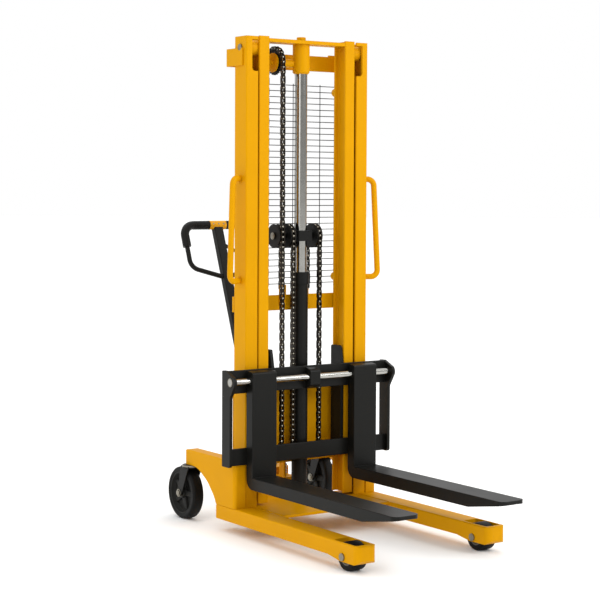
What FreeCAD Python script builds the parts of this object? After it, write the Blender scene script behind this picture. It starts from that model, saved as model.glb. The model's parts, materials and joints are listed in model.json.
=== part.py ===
"""Walkie stacker with a two-stage mast, a chain lift and adjustable forks.

Frame: +Z up, forks towards -Y, +X to the right of someone who looks along +Y. The numbers
below count Y from the front face of the outer mast; every node is moved by the same step in
Y when it is saved, so that the origin is the bottom centre of the whole machine.
"""
import FreeCAD, Part
import math
import os

V = FreeCAD.Vector

# ---- driving dimensions, mm ----
# Mast
mast_height = 1825.0          # top of the outer mast above the floor
mast_half_width = 275.0       # centre line to the outer side face
outer_depth = 82.0
outer_flange_reach = 52.0
outer_web = 9.0
flange_thickness = 10.0
stage_gap = 7.0               # between the outer flange and the inner mast
inner_flange_width = 44.0
inner_web = 8.0
inner_set_back = 3.0
inner_foot_gap = 9.0          # inner mast above the base plate
inner_top_step = 3.0          # inner mast above the outer mast
running_gap = 0.3             # roller to flange
guide_roller_z = 1785.0       # top guide rollers, on the outer mast
mast_roller_z = 150.0         # bottom rollers, on the inner mast
pin_head_radius = 12.0
# Base
leg_outer = 324.0             # centre line to the outer leg face
leg_width = 84.0
leg_top = 96.0
leg_bottom = 44.0
leg_wall = 5.0
leg_front = -757.0
leg_nose = 22.0               # rounding of the leg's front corners in plan
leg_rear = 124.0
plate_thickness = 10.0
plate_front = -196.0
load_wheel_radius = 49.0
load_wheel_width = 56.0
load_wheel_y = -675.0
# Rear wings and casters
wing_front = -3.0
wing_rear = 347.0
wing_top = 271.0
wing_bottom = 214.0
wing_wall = 5.0
caster_x = 308.0
caster_y = 328.0
caster_trail = 44.0
caster_radius = 100.0
caster_width = 46.0
kingpin_radius = 8.0
# Carriage
rail_front = -18.0
rail_thickness = 12.0
rail_half = 353.5
top_rail_low = 522.0
top_rail_high = 607.0
low_rail_low = 258.0
low_rail_high = 320.0
plate_x = 12.0                # thickness of the carriage side plates
bar_radius = 12.5
bar_y = -38.0
bar_z = 567.0
upright_inner = 152.0
upright_low = 255.0
upright_high = 672.0
upright_rear = 60.0
carriage_roller_z = (290.0, 635.0)
# Forks
fork_width = 106.0
fork_inner = 176.0            # centre line to the inner face, as parked
fork_thickness = 44.0
shank_thickness = 40.0
fork_length = 845.0           # in front of the shank
fork_bottom = 171.0
fork_taper = 180.0
fork_tip_thickness = 13.0
fork_edge = 2.5               # rounding of the long edges
# Lift cylinder and chains
cylinder_y = 50.0
barrel_radius = 30.0
barrel_top = 910.0
gland_radius = 34.0
gland_height = 45.0
rod_radius = 24.0
sleeve_radius = 32.0
sleeve_length = 110.0
top_plate_thickness = 13.0
crosshead_z = 1092.0
crosshead_height = 39.0
pulley_x = 60.0
pulley_radius = 46.0
pulley_width = 22.0
chain_pitch_radius = 40.0     # chain centre line on the crosshead pulleys
third_chain_x = -110.0
sprocket_y = 62.0
sprocket_z = 1737.0
sprocket_pitch_radius = 54.0
chain_width = 16.0
chain_depth = 15.0
# Cross members and guard
crossbar_low = 811.0
crossbar_high = 868.0
crossbar_thickness = 13.0
panel_low = 232.0
panel_high = 560.0
brace_low = 1718.0
brace_high = 1782.0
brace_front = 21.0
brace_rear = 135.0
guard_low = 909.0
guard_high = 1659.0
guard_wires = 34
guard_y = 99.5
wire_radius = 1.5
lug_radius = 15.0
lug_x = 190.0
lug_z = (932.0, 1637.0)
# Side handles
handle_tube = 11.0
handle_y = 40.0
handle_top = 1306.0
handle_bottom = 930.0
handle_reach = (50.0, 68.0)   # top and bottom, from the mast's side face
handle_angle = 25.0           # turned forward from straight out
# Pump and tiller
pump_y = 158.0
plunger_radius = 9.0
pivot_y = 112.0
pivot_z = 290.0
pump_roller = 14.0
arm_width = 40.0
arm_depth = 27.0
arm_foot = (374.0, 375.0)     # y, z of the arm's lower end
grip_centre = (652.0, 1118.0)
loop_half_width = 157.0
loop_side = 178.0             # down the tiller from the grip's centre line
loop_tail = 222.0
loop_tube = 9.5
grip_radius = 17.0
collar_radius = 18.0
collar_half = 38.0
grip_end = 90.0
lever_pin = 62.0              # down the tiller to the release lever's pin
lever_tip = (104.0, 122.0)

# ---- clearances, mm ----
fit = 0.05                    # shaft to bore, on the radius
gap = 0.3                     # pieces of different bodies that face each other

# ---- worked out from the above ----
outer_tip = mast_half_width - outer_flange_reach
inner_outer = outer_tip - stage_gap
inner_tip = inner_outer - inner_flange_width
inner_rear = outer_depth - inner_set_back
web_x0 = (inner_outer + inner_tip - inner_web) / 2
web_x1 = web_x0 + inner_web
channel_y = outer_depth / 2
small_roller = (inner_rear - inner_set_back) / 2 - flange_thickness - running_gap
large_roller = outer_depth / 2 - flange_thickness - running_gap
inner_top = mast_height + inner_top_step
inner_foot = leg_top + inner_foot_gap
plate_top = inner_top - 7.0
plate_low = plate_top - top_plate_thickness
leg_inner = leg_outer - leg_width
load_wheel_x = (leg_outer + leg_inner) / 2
rail_rear = rail_front + rail_thickness
side_outer = rail_half + plate_x
shank_rear = bar_y + shank_thickness / 2 - 1.3
shank_front = shank_rear - shank_thickness
fork_top = fork_bottom + fork_thickness
fork_head = top_rail_high - 2.0
fork_tip = shank_front - fork_length
caster_wheel_y = caster_y + caster_trail
pulley_root = chain_pitch_radius - chain_depth / 2 - 0.2
idler_root = cylinder_y - (sprocket_y - sprocket_pitch_radius) - chain_depth / 2 - 1.0
arm_dir = V(0, grip_centre[0] - arm_foot[0], grip_centre[1] - arm_foot[1]).normalize()
arm_normal = V(0, -arm_dir.z, arm_dir.y)
grip_point = V(0, grip_centre[0], grip_centre[1])
machine_front = fork_tip
machine_rear = grip_centre[0] + collar_radius
to_origin = V(0, -(machine_front + machine_rear) / 2, 0)


# ---- shape helpers ----
def box(x0, x1, y0, y1, z0, z1):
    return Part.makeBox(x1 - x0, y1 - y0, z1 - z0, V(x0, y0, z0))


def bar_x(radius, x0, x1, y, z):
    return Part.makeCylinder(radius, x1 - x0, V(x0, y, z), V(1, 0, 0))


def bar_y_axis(radius, y0, y1, x, z):
    return Part.makeCylinder(radius, y1 - y0, V(x, y0, z), V(0, 1, 0))


def bar_z_axis(radius, z0, z1, x, y):
    return Part.makeCylinder(radius, z1 - z0, V(x, y, z0), V(0, 0, 1))


def round_loop(corners, place):
    """A closed face from (u, v, corner radius) points."""
    points = [place(c[0], c[1]) for c in corners]
    count = len(corners)
    ends = []
    for i in range(count):
        here, before, after = points[i], points[i - 1], points[(i + 1) % count]
        radius = corners[i][2]
        a = (before - here).normalize()
        b = (after - here).normalize()
        if radius == 0:
            ends.append((here, None, here))
            continue
        half = a.getAngle(b) / 2
        reach = radius / math.tan(half)
        middle = here + (a + b).normalize() * (radius / math.sin(half) - radius)
        ends.append((here + a * reach, middle, here + b * reach))
    edges = []
    for i in range(count):
        start, middle, end = ends[i]
        if middle is not None:
            edges.append(Part.Arc(start, middle, end).toShape())
        following = ends[(i + 1) % count][0]
        if (following - end).Length > 1e-6:
            edges.append(Part.LineSegment(end, following).toShape())
    return Part.Face(Part.Wire(edges))


def prism_x(corners, x0, x1):
    """Corners are (y, z, radius)."""
    return round_loop(corners, lambda u, v: V(x0, u, v)).extrude(V(x1 - x0, 0, 0))


def prism_y(corners, y0, y1):
    """Corners are (x, z, radius)."""
    return round_loop(corners, lambda u, v: V(u, y0, v)).extrude(V(0, y1 - y0, 0))


def prism_z(corners, z0, z1):
    """Corners are (x, y, radius)."""
    return round_loop(corners, lambda u, v: V(u, v, z0)).extrude(V(0, 0, z1 - z0))


def bent_tube(points, bend, radius):
    """A round bar along straight runs joined by tangent arcs of one radius."""
    edges = []
    start = points[0]
    for i in range(1, len(points) - 1):
        here = points[i]
        a = (points[i - 1] - here).normalize()
        b = (points[i + 1] - here).normalize()
        half = a.getAngle(b) / 2
        reach = bend / math.tan(half)
        middle = here + (a + b).normalize() * (bend / math.sin(half) - bend)
        edges.append(Part.LineSegment(start, here + a * reach).toShape())
        edges.append(Part.Arc(here + a * reach, middle, here + b * reach).toShape())
        start = here + b * reach
    edges.append(Part.LineSegment(start, points[-1]).toShape())
    path = Part.Wire(edges)
    section = Part.Wire([Part.makeCircle(radius, points[0], points[1] - points[0])])
    return path.makePipeShell([section], True, True)


def mirrored(shape):
    return shape.mirror(V(0, 0, 0), V(1, 0, 0))


def fuse(first, *others):
    return first.multiFuse(list(others)).removeSplitter()


def group(*shapes):
    return Part.makeCompound(list(shapes))


def on_tiller(x, down, out=0.0):
    """A point down the tiller from the grip's centre, and out along its front normal."""
    return V(x, 0, 0) + grip_point - arm_dir * down + arm_normal * out


# ---- base ----
def leg():
    side = prism_x([(leg_rear, leg_bottom, 0), (leg_rear, leg_top, 0), (leg_front, leg_top, 8),
                    (leg_front, 44.0, 8), (leg_front + 16, 33.0, 8), (leg_front + 97, 33.0, 20),
                    (leg_front + 167, leg_bottom, 20)], leg_inner, leg_outer)
    section = prism_y([(leg_inner, 20.0, 0), (leg_outer, 20.0, 0), (leg_outer, leg_top, 5),
                       (leg_inner, leg_top, 5)], leg_front, leg_rear)
    plan = prism_z([(leg_inner, leg_rear, 0), (leg_inner, leg_front, leg_nose),
                    (leg_outer, leg_front, leg_nose), (leg_outer, leg_rear, 0)], 0, leg_top)
    body = side.common(section).common(plan)
    hollow = box(leg_inner + leg_wall, leg_outer - leg_wall, leg_front + 160, leg_rear + 1,
                 leg_bottom + leg_wall, leg_top - leg_wall)
    pocket = prism_z([(leg_inner + 10, load_wheel_y + 63, 10), (leg_inner + 10, load_wheel_y - 63, 10),
                      (leg_outer - 10, load_wheel_y - 63, 10), (leg_outer - 10, load_wheel_y + 63, 10)],
                     0, leg_top + 1)
    axle = bar_x(10 + fit, leg_inner - 1, leg_outer + 1, load_wheel_y, load_wheel_radius)
    return body.cut(hollow).cut(pocket).cut(axle)


def base_plate():
    low = leg_top - plate_thickness
    front = box(-leg_inner, leg_inner, plate_front, outer_depth + 13, low, leg_top)
    tail = box(-110, 110, outer_depth, 325, low, leg_top)
    return fuse(front, tail)


def wing():
    arch = [(leg_rear, leg_top, 0), (leg_rear + 16, leg_top + 27, 60), (leg_rear + 64, leg_top + 76, 110),
            (leg_rear + 140, wing_bottom, 110), (wing_rear, wing_bottom, 0)]
    outline = arch + [(wing_rear, wing_top, 8), (wing_front, wing_top, 0), (wing_front, leg_top, 0)]
    body = prism_x(outline, mast_half_width, leg_outer)
    plan = prism_z([(mast_half_width, wing_rear, 0), (mast_half_width, wing_front, 0),
                    (leg_outer, wing_front, 14), (leg_outer, wing_rear, 4)], 0, wing_top)
    section = prism_y([(mast_half_width, 0, 0), (leg_outer, 0, 0), (leg_outer, wing_top, 6),
                       (mast_half_width, wing_top, 0)], wing_front, wing_rear)
    body = body.common(plan).common(section)
    inner = [(leg_rear + wing_wall, leg_top + wing_wall, 0), (leg_rear + 10, leg_top + 45, 0),
             (leg_rear + 60, leg_top + 95, 0), (leg_rear + 128, wing_bottom + 9, 0),
             (wing_rear - wing_wall, wing_bottom + 9, 0), (wing_rear - wing_wall, wing_top - wing_wall, 0),
             (wing_front + wing_wall, wing_top - wing_wall, 0), (wing_front + wing_wall, leg_top + wing_wall, 0)]
    hollow = prism_x(inner, mast_half_width + wing_wall, leg_outer - wing_wall)
    kingpin = bar_z_axis(kingpin_radius + fit, wing_bottom - 1, wing_bottom + 30, caster_x, caster_y)
    return body.cut(hollow).cut(kingpin)


# ---- outer mast ----
def outer_mast():
    web0 = mast_half_width - outer_web
    inner_y0 = flange_thickness
    inner_y1 = outer_depth - flange_thickness
    section = [(mast_half_width, 0, 5), (mast_half_width, outer_depth, 5), (outer_tip, outer_depth, 2),
               (outer_tip, inner_y1, 2), (web0, inner_y1, 5), (web0, inner_y0, 5),
               (outer_tip, inner_y0, 2), (outer_tip, 0, 3)]
    body = prism_z(section, leg_top, mast_height)
    notch = prism_y([(outer_tip - 1, 1813.0, 0), (outer_tip - 1, 1698.0, 0), (outer_tip + 27, 1698.0, 12),
                     (outer_tip + 27, 1813.0, 3)], -1, flange_thickness + 1)
    pin_hole = bar_x(10 + fit, web0 - 1, mast_half_width + 1, channel_y, guide_roller_z)
    body = body.cut(notch).cut(pin_hole)
    lugs = []
    for z in lug_z:
        disc = bar_y_axis(lug_radius, outer_depth, guard_y - wire_radius, lug_x, z)
        arm = box(lug_x, outer_tip + 15, outer_depth, guard_y - wire_radius, z - lug_radius, z + lug_radius)
        lugs += [disc, arm]
    return fuse(body, *lugs)


def upper_brace():
    plan = [(-mast_half_width - 6, brace_front, 0), (-mast_half_width - 6, brace_rear, 10),
            (mast_half_width + 6, brace_rear, 10), (mast_half_width + 6, brace_front, 0),
            (mast_half_width, brace_front, 0), (mast_half_width, brace_rear - 8, 4),
            (-mast_half_width, brace_rear - 8, 4), (-mast_half_width, brace_front, 0)]
    body = prism_z(plan, brace_low, brace_high)
    notch = box(-outer_tip + 40, outer_tip - 40, brace_front, brace_rear + 1, brace_high - 6, brace_high + 1)
    pin_heads = bar_x(pin_head_radius + gap, -mast_half_width - 8, mast_half_width + 8, channel_y, guide_roller_z)
    return body.cut(notch).cut(pin_heads)


def lower_crossbar():
    rear = outer_depth + crossbar_thickness
    body = prism_z([(-mast_half_width, outer_depth, 0), (-mast_half_width, rear, 3),
                    (mast_half_width, rear, 3), (mast_half_width, outer_depth, 0)],
                   crossbar_low, crossbar_high)
    bracket = box(-pulley_x - 15, -pulley_x + 15, outer_depth - 5, outer_depth, crossbar_low + 20, 906.0)
    bolts = [bar_y_axis(6, outer_depth - 10, outer_depth - 4, -pulley_x, z) for z in (858.0, 892.0)]
    third = box(third_chain_x - 10, third_chain_x + 10, rear - 1, sprocket_y + sprocket_pitch_radius + 8,
                crossbar_low + 8, crossbar_low + 30)
    studs = [bar_z_axis(6, crossbar_high - 1, crossbar_high + 20, x, cylinder_y + chain_pitch_radius)
             for x in (-pulley_x, pulley_x)]
    return fuse(body, bracket, third, *bolts, *studs)


def rear_panel():
    return box(-mast_half_width, mast_half_width, outer_depth, outer_depth + 5, panel_low, panel_high)


def mesh_guard():
    half = lug_x + 8
    pitch = (guard_high - guard_low) / (guard_wires - 1)
    wires = [bar_x(wire_radius, -half, half, guard_y, guard_low + i * pitch) for i in range(guard_wires)]
    uprights = [bar_z_axis(wire_radius, guard_low - 6, guard_high + 6, x, guard_y + 2 * wire_radius - 0.6)
                for x in (-half + 6, -124.0, 0.0, 124.0, half - 6)]
    return fuse(uprights[0], *uprights[1:], *wires)


def side_handle():
    a = math.radians(handle_angle)
    out = V(math.cos(a), -math.sin(a), 0)
    base = V(mast_half_width, handle_y, 0)
    top, bottom = handle_reach
    path = [base - out * 12 + V(0, 0, handle_top), base + out * top + V(0, 0, handle_top),
            base + out * bottom + V(0, 0, handle_bottom), base - out * 12 + V(0, 0, handle_bottom)]
    tube = bent_tube(path, 26.0, handle_tube)
    return tube.cut(box(0, mast_half_width, -50, outer_depth, handle_bottom - 50, handle_top + 50))


# ---- lift cylinder and pump ----
def cylinder_barrel():
    body = bar_z_axis(barrel_radius, leg_top, barrel_top, 0, cylinder_y)
    foot = bar_z_axis(barrel_radius + 6, leg_top, leg_top + 26, 0, cylinder_y)
    bore = bar_z_axis(rod_radius + 1.5, leg_top + 20, barrel_top + 1, 0, cylinder_y)
    return fuse(body, foot).cut(bore)


def cylinder_gland():
    body = bar_z_axis(gland_radius, barrel_top, barrel_top + gland_height, 0, cylinder_y)
    port = box(24, gland_radius + 6, cylinder_y - 9, cylinder_y + 9, barrel_top + 4, barrel_top + gland_height - 6)
    bore = bar_z_axis(rod_radius + fit, barrel_top - 1, barrel_top + gland_height + 1, 0, cylinder_y)
    return fuse(body, port).cut(bore)


def pump_body():
    block = prism_z([(-42, 122, 6), (42, 122, 6), (42, 205, 6), (-42, 205, 6)], leg_top, 165.0)
    tank = prism_z([(-60, 204, 12), (60, 204, 12), (60, 318, 20), (-60, 318, 20)], leg_top, 192.0)
    cheeks = [prism_x([(pivot_y - 16, leg_top, 0), (pivot_y + 20, leg_top, 0), (pivot_y + 16, pivot_z + 16, 15),
                       (pivot_y - 16, pivot_z + 16, 15)], x, x + 7) for x in (-38.0, 31.0)]
    pipe = bar_y_axis(6, cylinder_y + barrel_radius + 6.3, 124.0, 0, 112.0)
    body = fuse(block, tank, pipe, *cheeks)
    bore = bar_z_axis(plunger_radius + fit, leg_top + 6, 166.0, 0, pump_y)
    pin = bar_x(7 + fit, -40, 40, pivot_y, pivot_z)
    return body.cut(bore).cut(pin)


def pump_plunger():
    stem = bar_z_axis(plunger_radius, 138.0, 262.0, 0, pump_y)
    flange = bar_z_axis(17.0, 256.0, 264.0, 0, pump_y)
    head = bar_z_axis(14.0, 262.0, pivot_z - pump_roller - gap, 0, pump_y)
    return fuse(stem, flange, head)


def pump_spring():
    low, high, coil, wire = 167.6, 253.7, 12.8, 1.9
    turns = 8
    helix = Part.makeHelix((high - low) / turns, high - low, coil)
    helix.translate(V(0, pump_y, low))
    start = helix.Vertexes[0].Point
    section = Part.Wire([Part.makeCircle(wire, start, V(0, 1, 0.2))])
    return Part.Wire(helix.Edges).makePipeShell([section], True, True)


# ---- inner mast ----
def inner_mast():
    y0, y1 = inner_set_back, inner_rear
    f = flange_thickness
    section = [(inner_outer, y0, 4), (inner_outer, y0 + f, 2), (web_x1, y0 + f, 4), (web_x1, y1 - f, 4),
               (inner_outer, y1 - f, 2), (inner_outer, y1, 4), (inner_tip, y1, 4), (inner_tip, y1 - f, 2),
               (web_x0, y1 - f, 4), (web_x0, y0 + f, 4), (inner_tip, y0 + f, 2), (inner_tip, y0, 4)]
    body = prism_z(section, inner_foot, inner_top)
    stub = bar_x(11, web_x1 - 1, mast_half_width - outer_web - 2, channel_y, mast_roller_z)
    return fuse(body, stub)


def top_plate():
    y0, y1 = inner_set_back + 2, inner_rear - 2
    body = box(-inner_tip, inner_tip, y0, y1, plate_low, plate_top)
    f = flange_thickness
    tongue = box(-web_x0, web_x0, inner_set_back + f + 1, inner_rear - f - 1, plate_low, plate_top)
    hole = bar_z_axis(12 + fit, plate_low - 1, plate_top + 1, 0, cylinder_y)
    mast = inner_mast()
    return fuse(body, tongue).cut(hole).cut(mast).cut(mirrored(mast))


def lift_rod():
    rod = bar_z_axis(rod_radius, leg_top + 30, plate_low, 0, cylinder_y)
    thread = bar_z_axis(12.0, plate_low - 1, plate_top + 12, 0, cylinder_y)
    piston = bar_z_axis(rod_radius + 1.45, leg_top + 26, leg_top + 56, 0, cylinder_y)
    return fuse(rod, thread, piston)


def rod_sleeve():
    tube = bar_z_axis(sleeve_radius, plate_low - sleeve_length, plate_low, 0, cylinder_y)
    bevel = Part.makeCone(sleeve_radius - 6, sleeve_radius + 2, 8, V(0, cylinder_y, plate_low - sleeve_length))
    outer = fuse(bevel, bar_z_axis(sleeve_radius + 2, plate_low - sleeve_length + 8, plate_low, 0, cylinder_y))
    return tube.common(outer).cut(bar_z_axis(rod_radius + fit, 0, plate_top, 0, cylinder_y))


def rod_cap_nut():
    points = [V(19 * math.cos(math.radians(60 * i)), cylinder_y + 19 * math.sin(math.radians(60 * i)), plate_top)
              for i in range(7)]
    hexagon = Part.Face(Part.makePolygon(points)).extrude(V(0, 0, 15))
    dome = bar_z_axis(19, plate_top, plate_top + 15, 0, cylinder_y)
    dome = dome.makeFillet(6, [e for e in dome.Edges if e.BoundBox.ZMin > plate_top + 14])
    return hexagon.common(dome).cut(bar_z_axis(12 + fit, 0, plate_top + 12 + fit, 0, cylinder_y))


def crosshead():
    z0 = crosshead_z - crosshead_height / 2
    block = prism_z([(-32, 14, 5), (32, 14, 5), (32, 86, 5), (-32, 86, 5)], z0, z0 + crosshead_height)
    side = pulley_width / 2 + 1
    axle = bar_x(9, third_chain_x - side - 3, pulley_x + side + 3, cylinder_y, crosshead_z)
    ends = [bar_x(12, x, x + 4, cylinder_y, crosshead_z) for x in (third_chain_x - side - 4, pulley_x + side)]
    rod = bar_z_axis(rod_radius + fit, z0 - 1, z0 + crosshead_height + 1, 0, cylinder_y)
    return fuse(block, axle, *ends).cut(rod)


def sprocket_bracket():
    axle = bar_x(10, -web_x0, -sleeve_radius + 14, sprocket_y, sprocket_z)
    boss = bar_x(15, third_chain_x + 14, -sleeve_radius + 14, sprocket_y, sprocket_z)
    cheeks = [bar_x(36, x, x + 5, sprocket_y, sprocket_z) for x in (third_chain_x - 12, third_chain_x + 7)]
    body = fuse(axle, boss, *cheeks).cut(mirrored(inner_mast()))
    return body.cut(bar_z_axis(sleeve_radius + 0.02, 0, plate_top, 0, cylinder_y))


def chain_wheel(x, y, z, rim, root, width, bore):
    """A grooved wheel with the chain running between its flanges."""
    half = width / 2
    body = bar_x(rim, x - half, x + half, y, z)
    groove = bar_x(rim + 1, x - chain_width / 2 - 0.4, x + chain_width / 2 + 0.4, y, z)
    groove = groove.cut(bar_x(root, x - half, x + half, y, z))
    return body.cut(groove).cut(bar_x(bore, x - half - 1, x + half + 1, y, z))


def top_sprocket():
    teeth = 22
    tip = sprocket_pitch_radius - chain_depth / 2 - gap
    root = tip - 5.0
    points = []
    for i in range(teeth):
        for share, radius in ((0.0, root), (0.25, root), (0.45, tip), (0.8, tip)):
            a = 2 * math.pi * (i + share) / teeth
            points.append(V(third_chain_x - 4, sprocket_y + radius * math.cos(a), sprocket_z + radius * math.sin(a)))
    disc = Part.Face(Part.makePolygon(points + points[:1])).extrude(V(8, 0, 0))
    hub = bar_x(20, third_chain_x - 6.7, third_chain_x + 6.7, sprocket_y, sprocket_z)
    return fuse(disc, hub).cut(bar_x(10 + fit, third_chain_x - 10, third_chain_x + 10, sprocket_y, sprocket_z))


def roller(radius, x0, x1, z, bore):
    body = bar_x(radius, x0, x1, channel_y, z).cut(bar_x(bore + fit, x0 - 1, x1 + 1, channel_y, z))
    rims = [e for e in body.Edges if abs(e.Length - 2 * math.pi * radius) < 0.01]
    return body.makeChamfer(1.2, rims)


# ---- chains ----
def strand(x, y, z0, z1):
    return box(x - chain_width / 2, x + chain_width / 2, y - chain_depth / 2, y + chain_depth / 2, z0, z1)


def wrap(x, y, z, radius):
    ring = bar_x(radius + chain_depth / 2, x - chain_width / 2, x + chain_width / 2, y, z)
    ring = ring.cut(bar_x(radius - chain_depth / 2, x - chain_width, x + chain_width, y, z))
    return ring.cut(box(x - 20, x + 20, y - 100, y + 100, z - 100, z))


def chain_fronts():
    parts = []
    for x in (-pulley_x, pulley_x):
        front = strand(x, cylinder_y - chain_pitch_radius, low_rail_high, crosshead_z)
        parts.append(fuse(front, wrap(x, cylinder_y, crosshead_z, chain_pitch_radius)))
    front = strand(third_chain_x, sprocket_y - sprocket_pitch_radius, low_rail_high, sprocket_z)
    parts.append(fuse(front, wrap(third_chain_x, sprocket_y, sprocket_z, sprocket_pitch_radius)))
    return group(*parts)


def chain_rears():
    parts = [strand(x, cylinder_y + chain_pitch_radius, crossbar_high + 20, crosshead_z) for x in (-pulley_x, pulley_x)]
    parts.append(strand(third_chain_x, sprocket_y + sprocket_pitch_radius, crossbar_low + 30, sprocket_z))
    return group(*parts)


# ---- carriage ----
def rail(low, high):
    return prism_x([(rail_front, low, 3), (rail_front, high, 3), (rail_rear, high, 2), (rail_rear, low, 2)],
                   -rail_half, rail_half).cut(box(0, 0.001, 0, 0.001, 0, 0.001))


def top_rail():
    lug = prism_x([(rail_front + 1, top_rail_low, 0), (rail_front + 1, top_rail_high - 4, 0),
                   (bar_y - 17, top_rail_high - 12, 14), (bar_y - 17, bar_z - 30, 14),
                   (rail_front - 6, top_rail_low, 0)], -22, 22)
    bore = bar_x(bar_radius + fit, -30, 30, bar_y, bar_z)
    return fuse(rail(top_rail_low, top_rail_high), lug).cut(bore)


def low_rail():
    lugs = [box(x - 8, x + 8, rail_rear - 1, cylinder_y - chain_pitch_radius + 8, low_rail_high - 28, low_rail_high)
            for x in (-pulley_x, pulley_x, third_chain_x)]
    return fuse(rail(low_rail_low, low_rail_high), *lugs)


def side_plate():
    outline = [(17, low_rail_low - 2, 3), (17, top_rail_high, 4), (-9, top_rail_high, 4),
               (-61, bar_z + 17, 10), (-67, bar_z + 6, 8), (-67, bar_z - 8, 10), (-36, top_rail_low - 12, 20),
               (-36, low_rail_low + 6, 3), (-30, low_rail_low - 2, 3)]
    bore = bar_x(bar_radius + fit, rail_half - 1, side_outer + 1, bar_y, bar_z)
    return prism_x(outline, rail_half, side_outer).cut(bore)


def roller_upright():
    x1 = upright_inner + 12
    outline = [(rail_rear, upright_low, 0), (rail_rear, top_rail_high, 0), (8, upright_high, 6),
               (upright_rear, upright_high, 8), (upright_rear, upright_low, 4)]
    plate = prism_x(outline, upright_inner, x1)
    stubs = [bar_x(11, x1 - 1, web_x0 - 1.5, channel_y, z) for z in carriage_roller_z]
    return fuse(plate, *stubs)


def fork():
    reach = shank_front
    outline = [(shank_rear, fork_head, 8), (reach, fork_head - 6, 8), (reach, fork_top, 8),
               (fork_tip, fork_top, 3), (fork_tip, fork_top - fork_tip_thickness, 3),
               (fork_tip + fork_taper, fork_bottom, 60), (shank_rear, fork_bottom, 38)]
    body = prism_x(outline, fork_inner, fork_inner + fork_width)
    plan = prism_z([(fork_inner, shank_rear + 1, 0), (fork_inner, fork_tip, 26),
                    (fork_inner + fork_width, fork_tip, 26), (fork_inner + fork_width, shank_rear + 1, 0)],
                   fork_bottom, fork_head)
    x0, x1 = fork_inner, fork_inner + fork_width
    blade = prism_y([(x0, fork_bottom - 1, 0), (x1, fork_bottom - 1, 0), (x1, fork_top, fork_edge),
                     (x0, fork_top, fork_edge)], fork_tip - 1, shank_front)
    heel = box(x0, x1, shank_front, shank_rear + 1, fork_bottom - 1, fork_top)
    shank = prism_z([(x0, shank_front, fork_edge), (x0, shank_rear + 1, 0), (x1, shank_rear + 1, 0),
                     (x1, shank_front, fork_edge)], fork_top, fork_head + 1)
    body = body.common(plan).common(fuse(blade, heel, shank))
    return body.cut(bar_x(bar_radius + gap, fork_inner - 1, fork_inner + fork_width + 1, bar_y, bar_z))


# ---- casters and load wheels ----
def caster_yoke():
    top = wing_bottom - gap
    crown_low = 2 * caster_radius + 2.0
    race = bar_z_axis(34, crown_low + 5, top, caster_x, caster_y)
    cup = bar_z_axis(37, crown_low, crown_low + 6, caster_x, caster_y)
    pin = bar_z_axis(kingpin_radius, top - 1, wing_bottom + 8, caster_x, caster_y)
    half = caster_width / 2 + 3
    arms = []
    for x in (caster_x - half - 5, caster_x + half):
        outline = [(caster_y - 26, crown_low + 6, 2), (caster_y + 30, crown_low + 6, 6),
                   (caster_wheel_y + 15, caster_radius - 12, 14), (caster_wheel_y - 15, caster_radius - 12, 14)]
        arms.append(prism_x(outline, x, x + 5))
    crown = box(caster_x - half - 5, caster_x + half + 5, caster_y - 26, caster_y + 30, crown_low, crown_low + 6)
    axle = bar_x(8, caster_x - half - 8, caster_x + half + 8, caster_wheel_y, caster_radius)
    nuts = [bar_x(11, x, x + 5, caster_wheel_y, caster_radius) for x in (caster_x - half - 10, caster_x + half + 5)]
    return fuse(crown, race, cup, pin, axle, *arms, *nuts)


def caster_wheel():
    x0, x1 = caster_x - caster_width / 2, caster_x + caster_width / 2
    y, z = caster_wheel_y, caster_radius
    tyre = bar_x(caster_radius, x0, x1, y, z)
    rims = [e for e in tyre.Edges if abs(e.Length - 2 * math.pi * caster_radius) < 0.01]
    tyre = tyre.makeFillet(7.0, rims)
    dish = 14.0
    for a, b in ((x0 - 1, x0 + dish), (x1 - dish, x1 + 1)):
        tyre = tyre.cut(bar_x(caster_radius - 21, a, b, y, z))
    hub = bar_x(22, x0 - 1, x1 + 1, y, z)
    spokes = []
    for i in range(5):
        spoke = box(x0 + 4, x1 - 4, y - 6, y + 6, z, z + caster_radius - 19)
        spoke.rotate(V(0, y, z), V(1, 0, 0), 72 * i + 18)
        spokes.append(spoke)
    body = fuse(tyre, hub, *spokes)
    return body.cut(bar_x(8 + fit, x0 - 2, x1 + 2, y, z))


def load_wheel():
    half = load_wheel_width / 2
    body = bar_x(load_wheel_radius, load_wheel_x - half, load_wheel_x + half, load_wheel_y, load_wheel_radius)
    rims = [e for e in body.Edges if abs(e.Length - 2 * math.pi * load_wheel_radius) < 0.01]
    body = body.makeFillet(4.0, rims)
    return body.cut(bar_x(10 + fit, 0, 400, load_wheel_y, load_wheel_radius))


def frame_axles():
    """The fixed axles: load wheels, top mast rollers and the tiller's pivot."""
    parts = []
    for side in (1, -1):
        load = fuse(bar_x(10, leg_inner, leg_outer, load_wheel_y, load_wheel_radius),
                    bar_x(13, leg_outer, leg_outer + 5, load_wheel_y, load_wheel_radius),
                    bar_x(13, leg_inner - 5, leg_inner, load_wheel_y, load_wheel_radius))
        roller_pin = fuse(bar_x(10, web_x1 + 3, mast_half_width, channel_y, guide_roller_z),
                          bar_x(pin_head_radius, mast_half_width, mast_half_width + 5, channel_y, guide_roller_z),
                          bar_x(14, inner_outer + 36, mast_half_width - outer_web, channel_y, guide_roller_z))
        for shape in (load, roller_pin):
            parts.append(shape if side > 0 else mirrored(shape))
    parts.append(fuse(bar_x(7, -42, 42, pivot_y, pivot_z), bar_x(11, -42, -38, pivot_y, pivot_z),
                      bar_x(11, 38, 42, pivot_y, pivot_z)))
    return group(*parts)


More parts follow.
